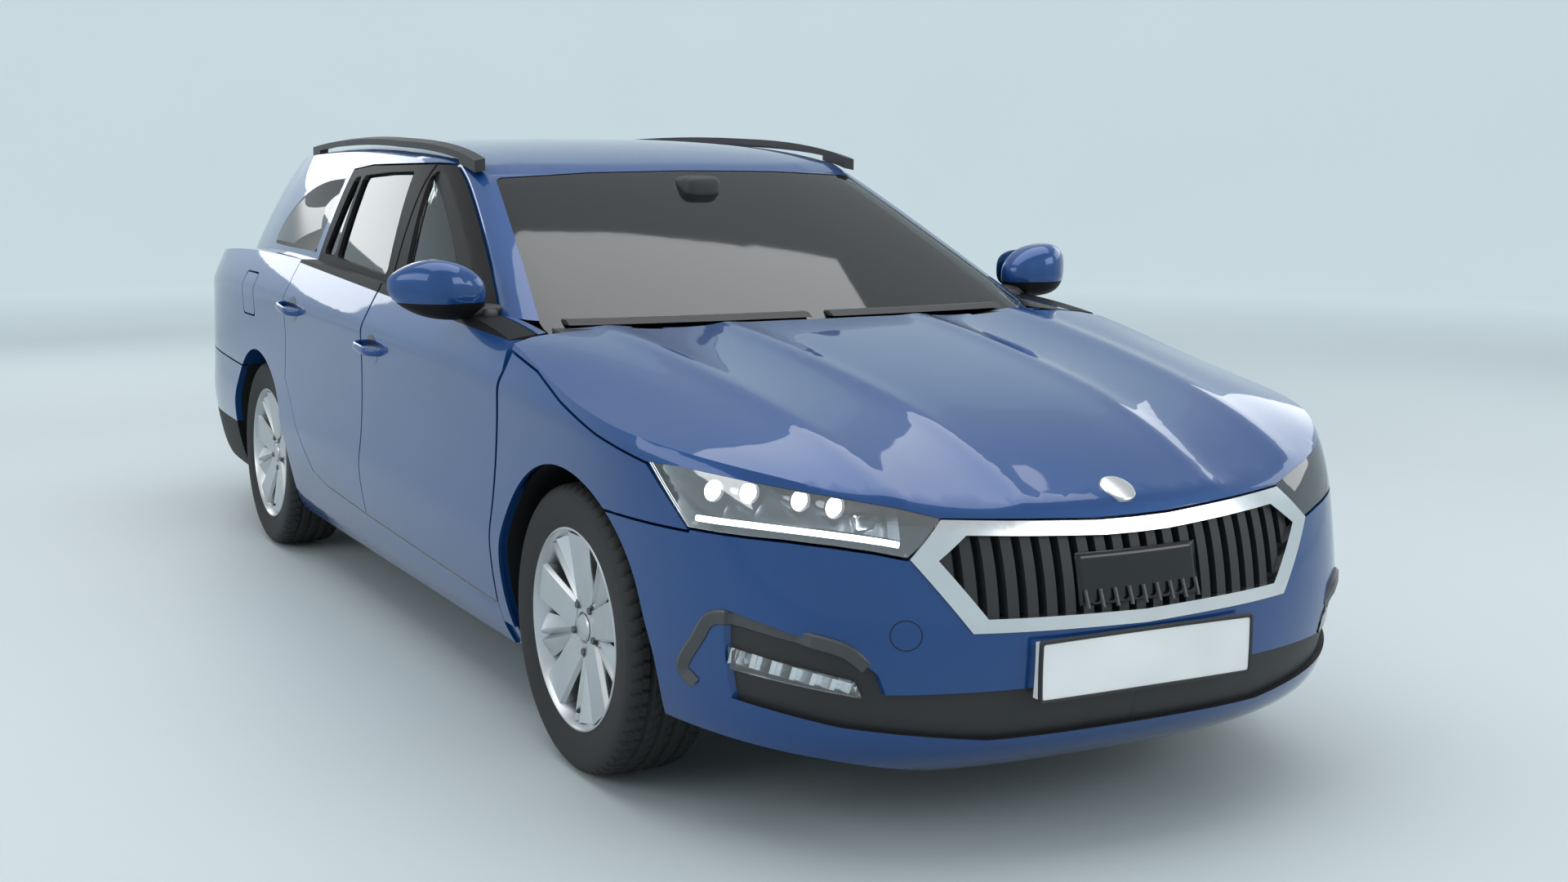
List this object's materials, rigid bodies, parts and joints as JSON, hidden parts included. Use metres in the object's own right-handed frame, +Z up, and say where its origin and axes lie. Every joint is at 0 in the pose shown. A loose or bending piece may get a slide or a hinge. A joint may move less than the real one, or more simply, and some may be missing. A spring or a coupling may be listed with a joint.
{
  "type": "station wagon",
  "caption": "Station wagon with opening doors, bonnet, tailgate and fuel flap, steered front wheels, roof rails and a furnished cabin.",
  "frame": {"origin": "on the ground under the middle of the car's length and width", "axes": "+X towards the front, +Y to the car's left, +Z up"},
  "size_m": [4.6874, 2.0234, 1.442],
  "materials": {
    "paint": "gloss",
    "dark_trim": "matte",
    "glass": "gloss",
    "clear_lens": "gloss",
    "red_lens": "gloss",
    "lamp_inside": "gloss",
    "satin_chrome": "satin",
    "floor_metal": "matte",
    "engine": "matte",
    "alloy": "satin",
    "tyre": "matte",
    "steel": "satin",
    "cloth": "matte",
    "dash": "matte",
    "plate": "satin"
  },
  "bodies": {
    "body": {"side_frame_left": "paint", "side_frame_right": "paint", "fender_left": "paint", "fender_right": "paint", "front_bumper": "paint", "rear_bumper": "paint", "roof_panel": "paint", "fixed_glass": "glass", "tail_lamps_outer": "red_lens", "headlamp_housings": "lamp_inside", "front_lenses": "clear_lens", "grille_surround": "satin_chrome", "grilles": "dark_trim", "floorpan": "floor_metal", "cowl": "dark_trim", "engine_block": "engine", "rear_axle": "floor_metal", "front_seats": "cloth", "rear_bench": "cloth", "dashboard": "dash", "roof_rails": "dark_trim", "plate_front": "plate", "exhaust": "steel", "wipers": "dark_trim"},
    "bonnet": {"bonnet": "paint"},
    "tailgate": {"tailgate": "paint", "tailgate_glass": "glass", "tail_lamps_inner": "red_lens", "plate_rear": "plate"},
    "fuel_flap": {"fuel_flap": "paint"},
    "steering_wheel": {"steering_wheel": "dash"},
    "front_door_left": {"front_door_left": "paint", "front_door_glass_left": "glass", "mirror_left": "paint"},
    "rear_door_left": {"rear_door_left": "paint", "rear_door_glass_left": "glass"},
    "knuckle_left": {"knuckle_left": "steel"},
    "wheel_front_left": {"rim_front_left": "alloy", "tyre_front_left": "tyre"},
    "wheel_rear_left": {"rim_rear_left": "alloy", "tyre_rear_left": "tyre"},
    "front_door_right": {"front_door_right": "paint", "front_door_glass_right": "glass", "mirror_right": "paint"},
    "rear_door_right": {"rear_door_right": "paint", "rear_door_glass_right": "glass"},
    "knuckle_right": {"knuckle_right": "steel"},
    "wheel_front_right": {"rim_front_right": "alloy", "tyre_front_right": "tyre"},
    "wheel_rear_right": {"rim_rear_right": "alloy", "tyre_rear_right": "tyre"}
  },
  "joints": [
    {"name": "front_door_hinge_left", "type": "hinge", "parent": "body", "child": "front_door_left", "pos_m": [1.133, 0.914, 0.6], "axis": [0, 0, -1], "range_deg": [0, 68]},
    {"name": "rear_door_hinge_left", "type": "hinge", "parent": "body", "child": "rear_door_left", "pos_m": [0.064, 0.914, 0.6], "axis": [0, 0, -1], "range_deg": [0, 70]},
    {"name": "front_door_hinge_right", "type": "hinge", "parent": "body", "child": "front_door_right", "pos_m": [1.133, -0.914, 0.6], "axis": [0, 0, 1], "range_deg": [0, 68]},
    {"name": "rear_door_hinge_right", "type": "hinge", "parent": "body", "child": "rear_door_right", "pos_m": [0.064, -0.914, 0.6], "axis": [0, 0, 1], "range_deg": [0, 70]},
    {"name": "bonnet_hinge", "type": "hinge", "parent": "body", "child": "bonnet", "pos_m": [1.06, 0, 0.975], "axis": [0, -1, 0], "range_deg": [0, 55]},
    {"name": "tailgate_hinge", "type": "hinge", "parent": "body", "child": "tailgate", "pos_m": [-1.937, 0, 1.385], "axis": [0, 1, 0], "range_deg": [0, 80]},
    {"name": "fuel_flap_hinge", "type": "hinge", "parent": "body", "child": "fuel_flap", "pos_m": [-1.2186, -0.914, 0.895], "axis": [0, 0, 1], "range_deg": [0, 100]},
    {"name": "steering_left", "type": "hinge", "parent": "body", "child": "knuckle_left", "pos_m": [1.465, 0.7, 0.328], "axis": [0, 0, 1], "range_deg": [-35, 35]},
    {"name": "steering_right", "type": "hinge", "parent": "body", "child": "knuckle_right", "pos_m": [1.465, -0.7, 0.328], "axis": [0, 0, 1], "range_deg": [-35, 35]},
    {"name": "steering_wheel_turn", "type": "hinge", "parent": "body", "child": "steering_wheel", "pos_m": [0.47, 0.37, 0.83], "axis": [-0.9135, 0, 0.4067], "range_deg": [-504, 504]},
    {"name": "front_wheel_spin_left", "type": "hinge", "parent": "knuckle_left", "child": "wheel_front_left", "pos_m": [1.465, 0.77, 0.328], "axis": [0, 1, 0], "continuous": true},
    {"name": "rear_wheel_spin_left", "type": "hinge", "parent": "body", "child": "wheel_rear_left", "pos_m": [-1.221, 0.77, 0.328], "axis": [0, 1, 0], "continuous": true},
    {"name": "front_wheel_spin_right", "type": "hinge", "parent": "knuckle_right", "child": "wheel_front_right", "pos_m": [1.465, -0.77, 0.328], "axis": [0, 1, 0], "continuous": true},
    {"name": "rear_wheel_spin_right", "type": "hinge", "parent": "body", "child": "wheel_rear_right", "pos_m": [-1.221, -0.77, 0.328], "axis": [0, 1, 0], "continuous": true}
  ],
  "couplings": [
    {"joint": "steering_right", "follows": "steering_left", "ratio": 1},
    {"joint": "steering_wheel_turn", "follows": "steering_left", "ratio": 14.4}
  ]
}
